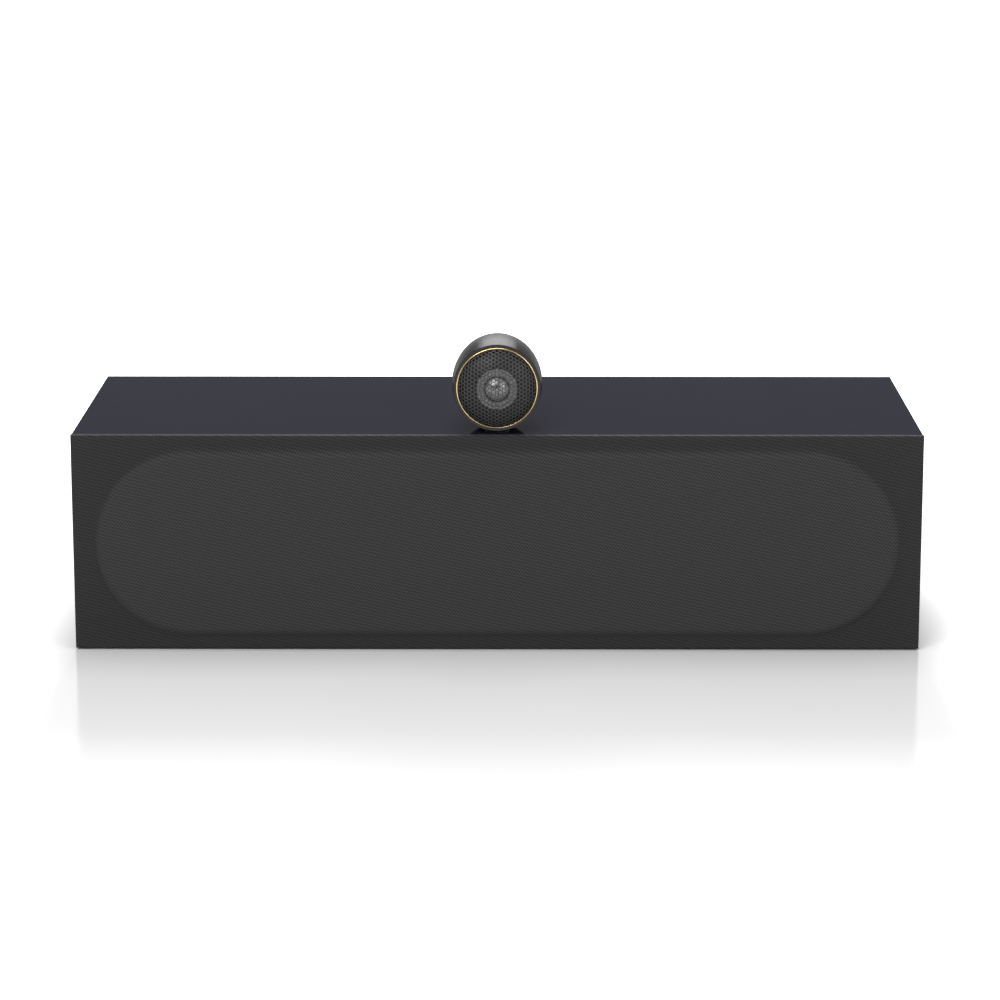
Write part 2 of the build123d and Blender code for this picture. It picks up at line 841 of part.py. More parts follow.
def tweeter_bezel():
    """The black ring in the front of the housing, which holds the trim ring and the mesh."""
    return on_pod() * ring(pod_rim(), bezel_outer(), -bezel_depth, 0)


def tweeter_trim_ring():
    """The bright metal ring round the mesh, with its outer edge bevelled."""
    inner = pod_rim()
    outer = inner + trim_width
    bevel = trim_width * 0.6
    return on_pod() * turned_outline([
        (inner, 0), (outer, 0), (outer, trim_depth - bevel), (outer - bevel, trim_depth), (inner, trim_depth),
    ])


def mesh_radius():
    return pod_rim() - seat_gap


def mesh_shell(radius, rise):
    """A solid cap with a steep side and a flattened front."""
    side = EllipticalCenterArc((0, 0), radius, rise, start_angle=0, arc_size=90)
    return turned(side, Line((0, rise), (0, 0)), Line((0, 0), (radius, 0)))


def mesh_hole_places():
    """The hexagonal pattern of holes, in upright columns, as far out as the mesh's solid rim."""
    column = mesh_pitch * cos(radians(30))
    reach = mesh_radius() - mesh_rim_width - mesh_hole / 2
    steps = range(-int(reach / column) - 1, int(reach / column) + 2)
    places = [(i * column, (j + 0.5 * (i % 2)) * mesh_pitch) for i in steps for j in steps]
    return [(x, y) for x, y in places if hypot(x, y) <= reach]


def tweeter_mesh():
    """The perforated guard that bulges forward from the trim ring."""
    radius = mesh_radius()
    cap = mesh_shell(radius, mesh_rise) - mesh_shell(radius - mesh_thickness, mesh_rise - mesh_thickness)
    cap += ring(radius - mesh_rim_width, radius, -mesh_thickness, 0)
    corner = mesh_hole / 2 / cos(radians(30))
    punch = extrude(RegularPolygon(corner, 6), mesh_rise + overcut)
    return on_pod() * (cap - [Pos(x, y, 0) * punch for x, y in mesh_hole_places()])


def tweeter_foot():
    """The saddle that the pod stands on."""
    low = cabinet_top + foot_pad_thickness
    block = extrude(Rot(0, 0, 90) * SlotOverall(foot_length, foot_width), pod_axis_z - low)
    block = Pos(0, pod_foot_y(), low) * block
    hole = Pos(0, pod_foot_y(), low) * disc(mount_bolt_radius + running_gap, -overcut, pod_axis_height)
    return block - on_pod() * pod_solid(seat_gap) - hole


def tweeter_foot_pad():
    """The soft pad that keeps the pod's vibration out of the cabinet."""
    pad = extrude(Rot(0, 0, 90) * SlotOverall(foot_length, foot_width), foot_pad_thickness)
    pad -= disc(mount_bolt_radius + running_gap, -overcut, foot_pad_thickness + overcut)
    return Pos(0, pod_foot_y(), cabinet_top) * pad


def tweeter_bolt():
    """The bolt that comes up through the cabinet's top into the pod."""
    under = -panel_thickness
    bolt = disc(mount_bolt_radius, under, mount_bolt_reach)
    bolt += disc(mount_bolt_head_radius, under - mount_bolt_head_height, under)
    return Pos(0, pod_foot_y(), cabinet_top) * bolt


# Tweeter drive unit


def dome_seat():
    """The height of the ledge that the dome's surround is bonded to."""
    return dome_forward - dome_thickness


def surround_inner():
    return dome_radius + seat_gap


def faceplate_hole():
    return surround_inner() + tweeter_seat_width


def motor_top():
    return dome_seat() - faceplate_thickness


def tweeter_faceplate():
    """The plate behind the mesh, with a raised boss that carries the dome forward."""
    edge = mesh_radius()
    ledge_end = faceplate_hole() + tweeter_land_width + seat_gap
    pocket = tweeter_plate_radius + seat_gap
    boss_top = dome_seat() + 2 * dome_thickness
    return on_pod() * turned_outline([
        (edge, -bezel_depth), (edge, -mesh_thickness), (edge - mesh_rim_width, -mesh_thickness),
        (faceplate_boss_radius, boss_top), (ledge_end, boss_top), (ledge_end, dome_seat()),
        (faceplate_hole(), dome_seat()), (faceplate_hole(), motor_top()), (pocket, motor_top()),
        (pocket, -bezel_depth),
    ])


def tweeter_dome():
    """The domed diaphragm."""
    sphere = (dome_radius**2 + dome_height**2) / (2 * dome_height)
    half = dome_radius / 2
    middle = dome_forward + dome_height - sphere + sqrt(sphere**2 - half**2)
    apex = dome_forward + dome_height
    drop = dome_thickness
    return on_pod() * turned(
        ThreePointArc((dome_radius, dome_forward), (half, middle), (0, apex)),
        Line((0, apex), (0, apex - drop)),
        ThreePointArc((0, apex - drop), (half, middle - drop), (dome_radius, dome_forward - drop)),
        Line((dome_radius, dome_forward - drop), (dome_radius, dome_forward)),
    )


def tweeter_surround():
    """The rolled edge between the dome and the faceplate."""
    inner, outer = surround_inner(), faceplate_hole()
    base, top = dome_seat(), dome_seat() + dome_thickness
    roll = (outer - inner) / 2
    middle, thin = inner + roll, roll - dome_thickness
    end = outer + tweeter_land_width
    return on_pod() * turned(
        Line((inner, base), (inner, top)),
        ThreePointArc((inner, top), (middle, top + roll), (outer, top)),
        Line((outer, top), (end, top)),
        Line((end, top), (end, base)),
        Line((end, base), (middle + thin, base)),
        ThreePointArc((middle + thin, base), (middle, base + thin), (middle - thin, base)),
        Line((middle - thin, base), (inner, base)),
    )


def tweeter_coil():
    """The voice coil on its former, under the dome's edge."""
    top = dome_seat() - seat_gap
    return on_pod() * ring(dome_radius - tweeter_coil_wall, dome_radius, top - tweeter_coil_length, top)


def tweeter_top_plate():
    inner = dome_radius + running_gap
    return on_pod() * ring(inner, tweeter_plate_radius, motor_top() - tweeter_plate_thickness, motor_top())


def tweeter_magnet():
    high = motor_top() - tweeter_plate_thickness
    inner = (dome_radius + tweeter_plate_radius) / 2.3
    return on_pod() * ring(inner, tweeter_plate_radius, high - tweeter_magnet_thickness, high)


def tweeter_yoke():
    """The back plate and pole, with a hole through to the loading tube."""
    base = motor_top() - tweeter_plate_thickness - tweeter_magnet_thickness
    pole = dome_radius - tweeter_coil_wall - running_gap
    yoke = disc(pole, base, motor_top()) + disc(tweeter_plate_radius, base - tweeter_back_thickness, base)
    bore = tweeter_tube_radius - tweeter_tube_wall
    return on_pod() * (yoke - disc(bore, base - tweeter_back_thickness - overcut, motor_top() + overcut))


def tweeter_tube():
    """The tube behind the pole that soaks up the dome's back wave."""
    high = motor_top() - tweeter_plate_thickness - tweeter_magnet_thickness - tweeter_back_thickness
    bore = tweeter_tube_radius - tweeter_tube_wall
    return on_pod() * ring(bore, tweeter_tube_radius, high - tweeter_tube_length, high)


def on_each_unit(make):
    """The same piece for each of the three cone drive units."""
    return [on_baffle(x) * make(unit) for x, unit in drive_units()]


def parts():
    """Every node of the model, with its solid or its group of solids."""
    left, right = both_sides(bass_spacing)
    nodes = {
        "cabinet_wrap": cabinet_wrap(),
        "front_baffle": front_baffle(),
        "rear_panel": rear_panel(),
        "partitions": partitions(),
        "braces": braces(),
        "mid_chamber_back": mid_chamber_back(),
        "foot_pads": foot_pads(),
        "damping_pads": damping_pads(),
        "grille_frame": grille_frame(),
        "grille_cloth": grille_cloth(),
        "grille_magnets": corner_magnets(seat_gap, seat_gap + magnet_thickness),
        "baffle_magnets": corner_magnets(-magnet_thickness, 0),
        "panel_screws": driver_screws() + terminal_screws(),
        "left_port_tube": port_tube(left),
        "right_port_tube": port_tube(right),
        "terminal_cup": terminal_cup(),
        "terminal_posts": terminal_posts(),
        "crossover_board": crossover_board(),
        "board_standoffs": board_standoffs(),
        "crossover_coils": crossover_coils(),
        "crossover_capacitors": crossover_capacitors(),
        "left_bass_basket": on_baffle(left) * basket(bass),
        "right_bass_basket": on_baffle(right) * basket(bass),
        "mid_basket": on_baffle() * basket(midrange),
        "trim_rings": on_each_unit(trim_ring),
        "top_plates": on_each_unit(top_plate),
        "driver_magnets": on_each_unit(magnet),
        "pole_yokes": on_each_unit(pole_yoke),
        "mid_phase_plug": on_baffle() * phase_plug(midrange),
        "mid_cone": on_baffle() * flared_cone(midrange),
        "mid_coil": on_baffle() * voice_coil(midrange, coil_top(midrange, False)),
        "mid_surround": on_baffle() * surround(midrange),
        "mid_spider": on_baffle() * spider(midrange),
        "tweeter_body": tweeter_body(),
        "tweeter_bezel": tweeter_bezel(),
        "tweeter_trim_ring": tweeter_trim_ring(),
        "tweeter_mesh": tweeter_mesh(),
        "tweeter_foot": tweeter_foot(),
        "tweeter_foot_pad": tweeter_foot_pad(),
        "tweeter_bolt": tweeter_bolt(),
        "tweeter_faceplate": tweeter_faceplate(),
        "tweeter_dome": tweeter_dome(),
        "tweeter_surround": tweeter_surround(),
        "tweeter_coil": tweeter_coil(),
        "tweeter_top_plate": tweeter_top_plate(),
        "tweeter_magnet": tweeter_magnet(),
        "tweeter_yoke": tweeter_yoke(),
        "tweeter_tube": tweeter_tube(),
    }
    for side, x in (("left", left), ("right", right)):
        nodes[f"{side}_bass_cone"] = on_baffle(x) * dish_cone(bass)
        nodes[f"{side}_bass_coil"] = on_baffle(x) * voice_coil(bass, coil_top(bass, True))
        nodes[f"{side}_bass_surround"] = on_baffle(x) * surround(bass)
        nodes[f"{side}_bass_spider"] = on_baffle(x) * spider(bass)
    for number, x in enumerate(both_sides(post_spacing), start=1):
        nodes[f"terminal_washer_{number}"] = terminal_washer(x)
        nodes[f"terminal_knob_{number}"] = terminal_knob(x)
    return nodes


os.makedirs("parts", exist_ok=True)
for node, shape in parts().items():
    if isinstance(shape, list):
        shape = Compound(children=shape)
    export_step(shape, f"parts/{node}.step")
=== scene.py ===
import json
import math

import bmesh
import bpy
from mathutils import Matrix, Vector

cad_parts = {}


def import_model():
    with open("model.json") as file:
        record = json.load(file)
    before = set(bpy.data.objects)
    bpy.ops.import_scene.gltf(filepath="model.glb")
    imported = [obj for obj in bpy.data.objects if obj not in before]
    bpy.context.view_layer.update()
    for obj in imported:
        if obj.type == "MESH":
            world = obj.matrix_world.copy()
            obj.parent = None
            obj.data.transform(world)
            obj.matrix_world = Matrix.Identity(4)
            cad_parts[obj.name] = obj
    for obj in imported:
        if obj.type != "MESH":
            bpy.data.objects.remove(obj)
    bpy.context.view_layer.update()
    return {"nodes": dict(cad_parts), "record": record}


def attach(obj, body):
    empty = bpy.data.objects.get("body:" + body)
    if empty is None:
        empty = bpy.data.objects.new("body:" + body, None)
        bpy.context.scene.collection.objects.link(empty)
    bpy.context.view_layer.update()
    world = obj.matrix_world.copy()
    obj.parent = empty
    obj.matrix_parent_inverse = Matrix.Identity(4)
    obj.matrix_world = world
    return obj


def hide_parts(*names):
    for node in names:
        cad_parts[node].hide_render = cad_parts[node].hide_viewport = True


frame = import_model()
nodes = frame["nodes"]

# Sizes, in metres, repeated from the part's source
WIDTH, HEIGHT, DEPTH = 0.850, 0.219, 0.325
PAD = 0.0015
FRONT = -DEPTH / 2
BAFFLE = FRONT + 0.015
MID_Z = PAD + HEIGHT / 2
MARGIN = 0.008
RISE = 0.007
SEAT = 0.0002
FIELD_W, FIELD_H = 0.807, 0.191
SLOPE = math.radians(48)
FOOT_R, RIM_R, EDGE_R = 0.007, 0.003, 0.002
FADE_START, FADE_WIDTH = 0.0005, 0.003
POD_Z = PAD + HEIGHT + 0.047
POD_Y = FRONT + RISE + 0.0087
LIP_R = 0.0436
RIM = LIP_R - 0.0042
MESH_R, MESH_RISE, MESH_T = RIM - SEAT, 0.015, 0.0004
MESH_PITCH, MESH_HOLE = 0.00407, 0.00338


# Materials


class Shader:
    """A principled material whose colour and roughness vary with a fine noise in the piece's own space."""

    def __init__(self, name, dark, light, rough, metallic=0.0, level=0.5, scale=90.0, coat=0.0, edge=1.0, bump=0.0):
        self.material = bpy.data.materials.new(name)
        self.material.use_nodes = True
        self.tree = self.material.node_tree
        self.bsdf = self.tree.nodes["Principled BSDF"]
        self.bsdf.inputs["Metallic"].default_value = metallic
        self.bsdf.inputs["Specular IOR Level"].default_value = level
        self.bsdf.inputs["Specular Tint"].default_value = (edge, edge, edge, 1)
        self.bsdf.inputs["Coat Weight"].default_value = coat
        self.coords = self.node("ShaderNodeTexCoord").outputs["Object"]
        self.noise = self.node("ShaderNodeTexNoise", Scale=scale, Detail=3.0)
        self.link(self.coords, self.noise.inputs["Vector"])
        self.ramp = self.node("ShaderNodeMix")
        self.ramp.data_type = "RGBA"
        self.ramp.inputs["A"].default_value = (*dark, 1)
        self.ramp.inputs["B"].default_value = (*light, 1)
        self.link(self.noise.outputs["Fac"], self.ramp.inputs["Factor"])
        self.link(self.ramp.outputs["Result"], self.bsdf.inputs["Base Color"])
        spread = self.node("ShaderNodeMapRange")
        spread.inputs["To Min"].default_value = rough[0]
        spread.inputs["To Max"].default_value = rough[1]
        self.link(self.noise.outputs["Fac"], spread.inputs["Value"])
        self.link(spread.outputs["Result"], self.bsdf.inputs["Roughness"])
        if bump:
            self.bump(self.noise.outputs["Fac"], bump)

    def node(self, kind, **values):
        made = self.tree.nodes.new(kind)
        for key, value in values.items():
            made.inputs[key].default_value = value
        return made

    def link(self, start, end):
        self.tree.links.new(start, end)

    def math(self, operation, first, second):
        made = self.node("ShaderNodeMath")
        made.operation = operation
        for socket, value in zip(made.inputs, (first, second)):
            if isinstance(value, (int, float)):
                socket.default_value = value
            else:
                self.link(value, socket)
        return made.outputs[0]

    def bump(self, height, distance):
        made = self.node("ShaderNodeBump")
        made.inputs["Strength"].default_value = 0.6
        made.inputs["Distance"].default_value = distance
        self.link(height, made.inputs["Height"])
        self.link(made.outputs["Normal"], self.bsdf.inputs["Normal"])


def grey(value):
    """A neutral colour from an 8-bit display value."""
    level = (value / 255 / 12.92) if value < 10.3 else ((value / 255 + 0.055) / 1.055) ** 2.4
    return (level, level, level)


def tint(red, green, blue):
    """A colour from 8-bit display values."""
    return tuple(grey(value)[0] for value in (red, green, blue))


def cloth_shader():
    """A tight twill, painted lighter on the raised field and darker on the margins round it: painted shade standing in
    for the shade beside the raised field.
    """
    made = Shader("grille_twill", grey(50), grey(58), (0.85, 0.95), level=0.1, scale=400.0)
    split = made.node("ShaderNodeSeparateXYZ")
    made.link(made.coords, split.inputs["Vector"])
    across, up = split.outputs["X"], split.outputs["Z"]
    threads = []
    for pitch, lean in ((0.0032, 0.84), (0.0138, 4.15)):
        run = made.math("ADD", across, made.math("MULTIPLY", up, lean))
        threads.append(made.math("SINE", made.math("MULTIPLY", run, 2 * math.pi / pitch), 0.0))
    weave = made.math("MULTIPLY", made.math("ADD", threads[0], made.math("MULTIPLY", threads[1], 0.7)), 0.29)
    height = made.math("ADD", weave, 0.5)
    # Painted shade: the 'open' mask lifts the raised field to grey 63 and leaves the margins round it darker, as shade
    # painted into the cloth's colour.
    field = made.node("ShaderNodeAttribute")
    field.attribute_name = "open"
    painted_shade_mix = made.node("ShaderNodeMix")
    painted_shade_mix.data_type = "RGBA"
    painted_shade_mix.inputs["B"].default_value = (*grey(63), 1)
    made.link(field.outputs["Fac"], painted_shade_mix.inputs["Factor"])
    made.link(made.ramp.outputs["Result"], painted_shade_mix.inputs["A"])
    thread = made.node("ShaderNodeMix")
    thread.data_type = "RGBA"
    thread.blend_type = "MULTIPLY"
    thread.inputs["Factor"].default_value = 0.64
    made.link(painted_shade_mix.outputs["Result"], thread.inputs["A"])
    made.link(height, thread.inputs["B"])
    made.link(thread.outputs["Result"], made.bsdf.inputs["Base Color"])
    made.bsdf.inputs["Sheen Weight"].default_value = 0.06
    made.bump(height, 0.00025)
    return made


FINISHES = {
    "lacquer": Shader("midnight_lacquer", tint(27, 27, 39), tint(30, 30, 43), (0.4, 0.5), level=0.0, scale=14.0, coat=0.09),
    "board": Shader("bare_fibreboard", tint(150, 124, 96), tint(172, 146, 116), (0.7, 0.85), scale=300.0),
    "black_board": Shader("black_board", grey(24), grey(30), (0.55, 0.7), scale=500.0, bump=0.0002),
    "grille_fabric": cloth_shader(),
    "frame_plastic": Shader("frame_plastic", grey(24), grey(30), (0.5, 0.6), scale=700.0),
    "pod_metal": Shader("satin_grey", grey(38), grey(42), (0.3, 0.34), metallic=1.0, edge=0.45, scale=1500.0),
    "bezel_black": Shader("gloss_black", grey(9), grey(12), (0.12, 0.18), level=0.3, scale=400.0),
    "trim_gold": Shader("pale_gold", tint(200, 172, 126), tint(212, 186, 142), (0.16, 0.24), metallic=1.0, scale=900.0),
    "mesh_steel": Shader("guard_grey", grey(40), grey(47), (0.26, 0.34), scale=1800.0),
    "dome": Shader("dome_grey", grey(140), grey(150), (0.3, 0.36), metallic=1.0, scale=1500.0),
    "dome_edge": Shader("dome_edge", grey(112), grey(120), (0.24, 0.3), scale=1500.0),
    "surround_rubber": Shader("black_rubber", grey(26), grey(32), (0.5, 0.6), scale=900.0),
    "pad_rubber": Shader("pad_rubber", grey(24), grey(30), (0.7, 0.85), scale=900.0),
    "basket_cast": Shader("black_casting", grey(18), grey(24), (0.4, 0.55), level=0.3, scale=1200.0, bump=0.00005),
    "trim_dark": Shader("dark_trim", grey(62), grey(70), (0.3, 0.4), metallic=0.7, scale=1200.0),
    "bass_paper": Shader("bass_skin", grey(58), grey(66), (0.35, 0.45), scale=260.0),
    "mid_weave": Shader("silver_weave", grey(150), grey(186), (0.45, 0.6), scale=700.0, bump=0.00008),
    "spider_cloth": Shader("spider_cloth", tint(150, 118, 62), tint(176, 142, 84), (0.8, 0.9), scale=900.0),
    "coil_copper": Shader("lacquered_wire", tint(176, 104, 66), tint(196, 122, 80), (0.3, 0.4), metallic=1.0, scale=900.0),
    "steel": Shader("zinc_steel", grey(150), grey(168), (0.3, 0.4), metallic=1.0, scale=500.0),
    "ferrite": Shader("ferrite", grey(52), grey(62), (0.55, 0.7), scale=400.0),
    "magnet_nickel": Shader("nickel", tint(204, 202, 196), tint(216, 214, 208), (0.16, 0.22), metallic=1.0, scale=700.0),
    "plug_metal": Shader("turned_metal", grey(160), grey(176), (0.28, 0.36), metallic=0.9, scale=900.0),
    "port_plastic": Shader("port_plastic", grey(26), grey(32), (0.45, 0.6), scale=900.0, bump=0.0001),
    "cup_plastic": Shader("cup_plastic", grey(28), grey(34), (0.5, 0.6), scale=900.0, bump=0.0001),
    "screw_black": Shader("screw_black", grey(30), grey(40), (0.35, 0.45), metallic=0.6, scale=900.0),
    "post_brass": Shader("post_plating", tint(208, 196, 166), tint(220, 208, 180), (0.18, 0.26), metallic=1.0, scale=900.0),
    "washer_brass": Shader("washer_plating", tint(208, 196, 166), tint(220, 208, 180), (0.2, 0.3), metallic=1.0, scale=900.0),
    "knob_red": Shader("knob_red", tint(150, 18, 18), tint(164, 24, 22), (0.25, 0.32), scale=900.0),
    "knob_black": Shader("knob_black", grey(20), grey(26), (0.25, 0.32), scale=900.0),
    "circuit_board": Shader("circuit_board", tint(32, 92, 52), tint(42, 106, 62), (0.4, 0.5), scale=900.0),
    "capacitor_film": Shader("capacitor_film", tint(196, 150, 62), tint(208, 164, 76), (0.3, 0.4), scale=500.0),
    "standoff_plastic": Shader("nylon", grey(205), grey(216), (0.5, 0.6), scale=700.0),
    "damping_foam": Shader("foam", grey(70), grey(92), (0.9, 0.98), scale=900.0, bump=0.0006),
}


def smooth(mesh, angle=35):
    """Shades a mesh smooth, with its sharper edges kept crisp."""
    for polygon in mesh.polygons:
        polygon.use_smooth = True
    mesh.set_sharp_from_angle(angle=math.radians(angle))


def dress(piece, slot):
    """Gives a piece the finish of one of the record's slots."""
    piece.data.materials.clear()
    piece.data.materials.append(FINISHES[slot].material)


slot_of = {part["node"]: part["material_slot"] for part in frame["record"]["subparts"]}
for name, node in nodes.items():
    dress(node, slot_of[name])
    smooth(node.data)


def add_piece(name, verts, faces, node, body, slot):
    """A mesh that stands for a CAD node and moves with its body."""
    mesh = bpy.data.meshes.new(name)
    mesh.from_pydata(verts, [], faces)
    mesh.validate()
    piece = bpy.data.objects.new(name, mesh)
    bpy.context.scene.collection.objects.link(piece)
    smooth(mesh)
    dress(piece, slot)
    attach(piece, body)
    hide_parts(node)
    return piece


# Grille cloth


def field_distance(x, z):
    """How far inside the foot of the raised field a point of the front is, in its own plane."""
    radius = FIELD_H / 2
    reach = FIELD_W / 2 - radius
    return radius - math.hypot(max(abs(x) - reach, 0.0), z)


def field_height(inside):
    """The cloth's height above the margin, from the soft foot, the slope and the rounded rim."""
    foot = FOOT_R * math.tan(SLOPE / 2)
    rim = RIM_R * math.tan(SLOPE / 2)
    run = RISE / math.tan(SLOPE)
    if inside <= -foot:
        return 0.0
    if inside <= -foot + FOOT_R * math.sin(SLOPE):
        return FOOT_R - math.sqrt(FOOT_R**2 - (inside + foot) ** 2)
    if inside >= run + rim:
        return RISE
    if inside >= run + rim - RIM_R * math.sin(SLOPE):
        return RISE - RIM_R + math.sqrt(RIM_R**2 - (inside - run - rim) ** 2)
    return inside * math.tan(SLOPE)


def steps(low, high, count):
    return [low + (high - low) * i / count for i in range(count + 1)]


def grille_cloth():
    """One sheet over the frame's front, turned back round its four edges."""
    half_w, half_h = WIDTH / 2, HEIGHT / 2
    turn = [(math.sin(math.radians(a)), math.cos(math.radians(a))) for a in (22.5, 45.0, 67.5, 90.0)]
    columns = [(x, 0.0) for x in steps(-half_w + EDGE_R, half_w - EDGE_R, 420)]
    rows = [(z, 0.0) for z in steps(-half_h + EDGE_R, half_h - EDGE_R, 116)]
    wrap = [(EDGE_R * s, EDGE_R * (1 - c)) for s, c in turn] + [(EDGE_R, MARGIN - SEAT)]
    columns = [(-half_w + EDGE_R - o, d) for o, d in reversed(wrap)] + columns
    columns += [(half_w - EDGE_R + o, d) for o, d in wrap]
    rows = [(-half_h + EDGE_R - o, d) for o, d in reversed(wrap)] + rows
    rows += [(half_h - EDGE_R + o, d) for o, d in wrap]
    verts, painted_field_light = [], []
    for z, drop_z in rows:
        for x, drop_x in columns:
            inside = field_distance(x, z)
            forward = MARGIN + field_height(inside) - max(drop_x, drop_z)
            verts.append((x, BAFFLE - forward, MID_Z + z))
            # Painted shade mask: 1 on the raised field, which the cloth paints lighter, falling to 0 on the margins,
            # which it paints darker as the shade round the field.
            painted_field_light.append(min(max((inside - FADE_START) / FADE_WIDTH, 0.0), 1.0))
    wide = len(columns)
    faces = [
        (r * wide + c, r * wide + c + 1, (r + 1) * wide + c + 1, (r + 1) * wide + c)
        for r in range(len(rows) - 1) for c in range(wide - 1)
    ]
    piece = add_piece("cloth_sheet", verts, faces, "grille_cloth", "grille", "grille_fabric")
    mark = piece.data.attributes.new("open", "FLOAT", "POINT")
    mark.data.foreach_set("value", painted_field_light)
    return piece


grille_cloth()

# Tweeter pod

POD = Matrix.Translation((0, POD_Y, POD_Z)) @ Matrix.Rotation(math.radians(90), 4, "X")


def lathe(name, profile, node, body, slot, count=128, closed=True):
    """A turned piece on the pod's axis from (radius, forward) points."""
    verts, faces = [], []
    for i in range(count):
        angle = 2 * math.pi * i / count
        for radius, forward in profile:
            verts.append(POD @ Vector((radius * math.cos(angle), radius * math.sin(angle), forward)))
    size = len(profile)
    spans = size if closed else size - 1
    for i in range(count):
        j = (i + 1) % count
        for k in range(spans):
            m = (k + 1) % size
            faces.append((i * size + k, j * size + k, j * size + m, i * size + m))
    return add_piece(name, verts, faces, node, body, slot)


def arc(centre, radius, start, end, count=8):
    """Points on an arc in (radius, forward) space, by angle in degrees."""
    return [
        (centre[0] + radius * math.cos(math.radians(a)), centre[1] + radius * math.sin(math.radians(a)))
        for a in steps(start, end, count)
    ]


def trim_ring():
    """The pale gold ring, with a soft outer bevel."""
    inner, outer, deep = RIM, RIM + 0.0012, 0.0026
    bevel = 0.0009
    profile = [(inner, 0.0), (outer, 0.0)] + arc((outer - bevel, deep - bevel), bevel, 0, 90)
    profile += arc((inner + 0.0003, deep - 0.0003), 0.0003, 90, 180, 4)
    lathe("gold_ring", profile, "tweeter_trim_ring", "cabinet", "trim_gold", 160)


def guard_profile():
    """Arc length, radius and height along the guard's elliptical side, from its apex."""
    rows, length = [(0.0, 0.0, MESH_RISE)], 0.0
    for i in range(1, 601):
        t = math.pi / 2 * i / 600
        radius, height = MESH_R * math.sin(t), MESH_RISE * math.cos(t)
        length += math.hypot(radius - rows[-1][1], height - rows[-1][2])
        rows.append((length, radius, height))
    return rows


def on_guard(rows, u, v):
    """The point of the guard that a point of the flat sheet comes to when the sheet is formed."""
    length = math.hypot(u, v)
    spot = min(int(length / rows[-1][0] * 600), 600)
    while spot < 600 and rows[spot + 1][0] < length:
        spot += 1
    while spot > 0 and rows[spot][0] > length:
        spot -= 1
    low, high = rows[spot], rows[min(spot + 1, 600)]
    part = 0.0 if high[0] == low[0] else min((length - low[0]) / (high[0] - low[0]), 1.0)
    radius = low[1] + (high[1] - low[1]) * part
    height = low[2] + (high[2] - low[2]) * part
    scale = radius / length if length > 1e-9 else 0.0
    return POD @ Vector((u * scale, v * scale, height))


def tweeter_guard():
    """The formed sheet with its hexagonal pattern of holes in upright columns."""
    rows = guard_profile()
    edge = rows[-1][0]
    column = MESH_PITCH * math.cos(math.radians(30))
    corner = MESH_PITCH / math.sqrt(3)
    made = bmesh.new()
    reach = int(edge / column) + 2
    for i in range(-reach, reach + 1):
        for j in range(-reach, reach + 1):
            u, v = i * column, (j + 0.5 * (i % 2)) * MESH_PITCH
            if math.hypot(u, v) > edge + corner * 0.4:
                continue
            holed = math.hypot(u, v) < edge - MESH_HOLE * 0.75
            outer, inner = [], []
            for k in range(12):
                angle = math.radians(30 * k)
                far = corner if k % 2 == 0 else corner * math.cos(math.radians(30))
                near = MESH_HOLE / 2 * (1.06 if k % 2 == 0 else 0.98)
                p, q = u + far * math.cos(angle), v + far * math.sin(angle)
                over = math.hypot(p, q)
                if over > edge:
                    p, q = p * edge / over, q * edge / over
                outer.append(made.verts.new(on_guard(rows, p, q)))
                inner.append((u + near * math.cos(angle), v + near * math.sin(angle)))
            if holed:
                ring = [made.verts.new(on_guard(rows, p, q)) for p, q in inner]
                for k in range(12):
                    m = (k + 1) % 12
                    made.faces.new((outer[k], outer[m], ring[m], ring[k]))
            else:
                made.faces.new(outer)
    bmesh.ops.remove_doubles(made, verts=made.verts, dist=0.00012)
    bmesh.ops.dissolve_degenerate(made, edges=made.edges, dist=0.00005)
    mesh = bpy.data.meshes.new("guard")
    made.to_mesh(mesh)
    made.free()
    piece = bpy.data.objects.new("tweeter_guard", mesh)
    bpy.context.scene.collection.objects.link(piece)
    thick = piece.modifiers.new("thickness", "SOLIDIFY")
    thick.thickness = MESH_T
    thick.offset = -1.0
    smooth(mesh, 40)
    dress(piece, "mesh_steel")
    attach(piece, "cabinet")
    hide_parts("tweeter_mesh")


trim_ring()
tweeter_guard()

# Foam inside the cabinet's ends


def foam_pads():
    """The foam sheets, with soft edges."""
    node = nodes["damping_pads"]
    piece = bpy.data.objects.new("foam_pads", node.data.copy())
    piece.matrix_world = node.matrix_world
    bpy.context.scene.collection.objects.link(piece)
    soft = piece.modifiers.new("soft_edges", "BEVEL")
    soft.width, soft.segments = 0.004, 3
    soft.limit_method = "ANGLE"
    dress(piece, "damping_foam")
    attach(piece, "cabinet")
    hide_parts("damping_pads")


foam_pads()

# Camera

camera = bpy.data.objects.new("camera", bpy.data.cameras.new("camera"))
bpy.context.scene.collection.objects.link(camera)
bpy.context.scene.camera = camera
camera.location = (0.0189, -3.4675, 0.9085)
camera.rotation_euler = (math.radians(90 - 12.812), 0.0, math.radians(0.2747))
camera.data.sensor_width = 36.0
camera.data.sensor_height = 36.0
camera.data.lens = 122.46
camera.data.clip_end = 60.0

# Floor, light and background

# SIDE_REACH is how far beside the object's ends the painted floor glow takes to reach full strength.
MIRROR_REACH, SIDE_REACH = 0.66, 0.05


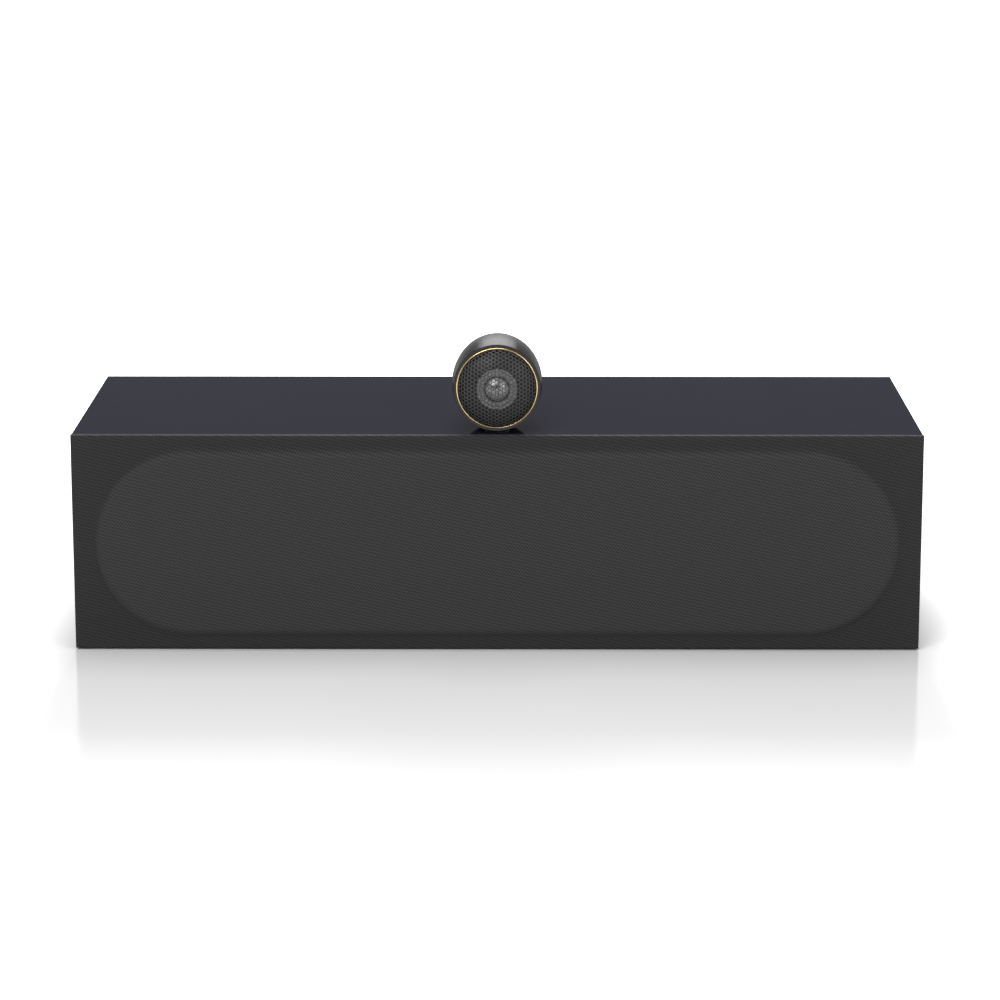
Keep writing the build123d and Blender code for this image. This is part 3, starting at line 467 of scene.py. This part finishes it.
def floor():
    """A pale floor with a reflection that fades away from the object, and a painted glow that grows away from the
    object and beside its ends, lightening the object's shadow there; the shadow beneath and in front of it stays.
    """
    mesh = bpy.data.meshes.new("floor")
    far = 14.0
    mesh.from_pydata([(-far, -far, 0), (far, -far, 0), (far, far, 0), (-far, far, 0)], [], [(0, 1, 2, 3)])
    piece = bpy.data.objects.new("floor", mesh)
    bpy.context.scene.collection.objects.link(piece)
    made = Shader("pale_floor", grey(240), grey(246), (0.1, 0.14), scale=3.0)
    split = made.node("ShaderNodeSeparateXYZ")
    made.link(made.coords, split.inputs["Vector"])
    gaps = []
    for axis, half in (("X", WIDTH / 2), ("Y", DEPTH / 2)):
        away = made.math("ABSOLUTE", split.outputs[axis], 0.0)
        gaps.append(made.math("MAXIMUM", made.math("SUBTRACT", away, half), 0.0))
    gap = made.math("MAXIMUM", gaps[0], gaps[1])
    near = made.math("MAXIMUM", made.math("SUBTRACT", 1.0, made.math("DIVIDE", gap, MIRROR_REACH)), 0.0)
    gloss = made.math("MULTIPLY", made.math("POWER", near, 2.0), 0.5)
    made.link(gloss, made.bsdf.inputs["Specular IOR Level"])
    # Painted light: a glow for camera, glossy and transmission rays that grows with distance from the object and beside
    # its ends, lightening the object's shadow there.
    far_off = made.math("POWER", made.math("SUBTRACT", 1.0, near), 6.0)
    painted_side_light = made.math("MINIMUM", made.math("DIVIDE", gaps[0], SIDE_REACH), 1.0)
    level = made.math("ADD", made.math("MULTIPLY", far_off, 0.7), made.math("MULTIPLY", painted_side_light, 0.3))
    seen = made.node("ShaderNodeLightPath")
    ray = made.math("MAXIMUM", seen.outputs["Is Camera Ray"], seen.outputs["Is Glossy Ray"])
    ray = made.math("MAXIMUM", ray, seen.outputs["Is Transmission Ray"])
    painted_floor_glow = made.math("MULTIPLY", ray, level)
    made.bsdf.inputs["Emission Color"].default_value = (1, 1, 1, 1)
    made.link(painted_floor_glow, made.bsdf.inputs["Emission Strength"])
    mesh.materials.append(made.material)


def dark_card(name, corners):
    """A dull black card that only reflections show, as in a darkened room."""
    mesh = bpy.data.meshes.new(name)
    mesh.from_pydata(corners, [], [(0, 1, 2, 3)])
    mesh.materials.append(Shader("black_card", grey(14), grey(20), (0.9, 1.0), level=0.0, scale=2.0).material)
    piece = bpy.data.objects.new(name, mesh)
    piece.visible_camera = False
    piece.visible_diffuse = False
    piece.visible_transmission = False
    piece.visible_shadow = False
    bpy.context.scene.collection.objects.link(piece)


def soft_light(name, place, aim, size, power):
    lamp = bpy.data.lights.new(name, "AREA")
    lamp.shape = "RECTANGLE"
    lamp.size, lamp.size_y = size
    lamp.energy = power
    light = bpy.data.objects.new(name, lamp)
    light.location = place
    light.rotation_euler = (Vector(aim) - Vector(place)).to_track_quat("-Z", "Y").to_euler()
    bpy.context.scene.collection.objects.link(light)


def world():
    """White to the camera and in reflections, and a low even fill for the rest."""
    made = bpy.data.worlds.new("studio")
    bpy.context.scene.world = made
    made.use_nodes = True
    tree = made.node_tree
    back = tree.nodes["Background"]
    back.inputs["Color"].default_value = (1, 1, 1, 1)
    path = tree.nodes.new("ShaderNodeLightPath")
    first = tree.nodes.new("ShaderNodeMath")
    first.operation = "MAXIMUM"
    tree.links.new(path.outputs["Is Camera Ray"], first.inputs[0])
    tree.links.new(path.outputs["Is Glossy Ray"], first.inputs[1])
    second = tree.nodes.new("ShaderNodeMath")
    second.operation = "MAXIMUM"
    tree.links.new(first.outputs[0], second.inputs[0])
    tree.links.new(path.outputs["Is Transmission Ray"], second.inputs[1])
    level = tree.nodes.new("ShaderNodeMapRange")
    level.inputs["To Min"].default_value = 0.35
    level.inputs["To Max"].default_value = 1.0
    tree.links.new(second.outputs[0], level.inputs["Value"])
    tree.links.new(level.outputs["Result"], back.inputs["Strength"])


floor()
dark_card("front_card", [(-3.4, -5, 0.01), (3.4, -5, 0.01), (3.4, -5, 4), (-3.4, -5, 4)])
dark_card("back_card", [(-0.6, 0.9, 0.002), (0.6, 0.9, 0.002), (0.6, 2.4, 0.002), (-0.6, 2.4, 0.002)])
soft_light("key", (-1.1, -2.5, 2.3), (0, 0, 0.15), (1.6, 1.2), 60)
soft_light("top", (0.0, 0.1, 2.4), (0, 0, 0.15), (0.9, 1.6), 18)
soft_light("fill", (1.8, -2.6, 1.3), (0, 0, 0.15), (1.4, 1.4), 28)
soft_light("rear", (0.0, 2.2, 1.4), (0, 0, 0.25), (1.1, 1.0), 60)
world()
bpy.context.scene.view_settings.view_transform = "Standard"
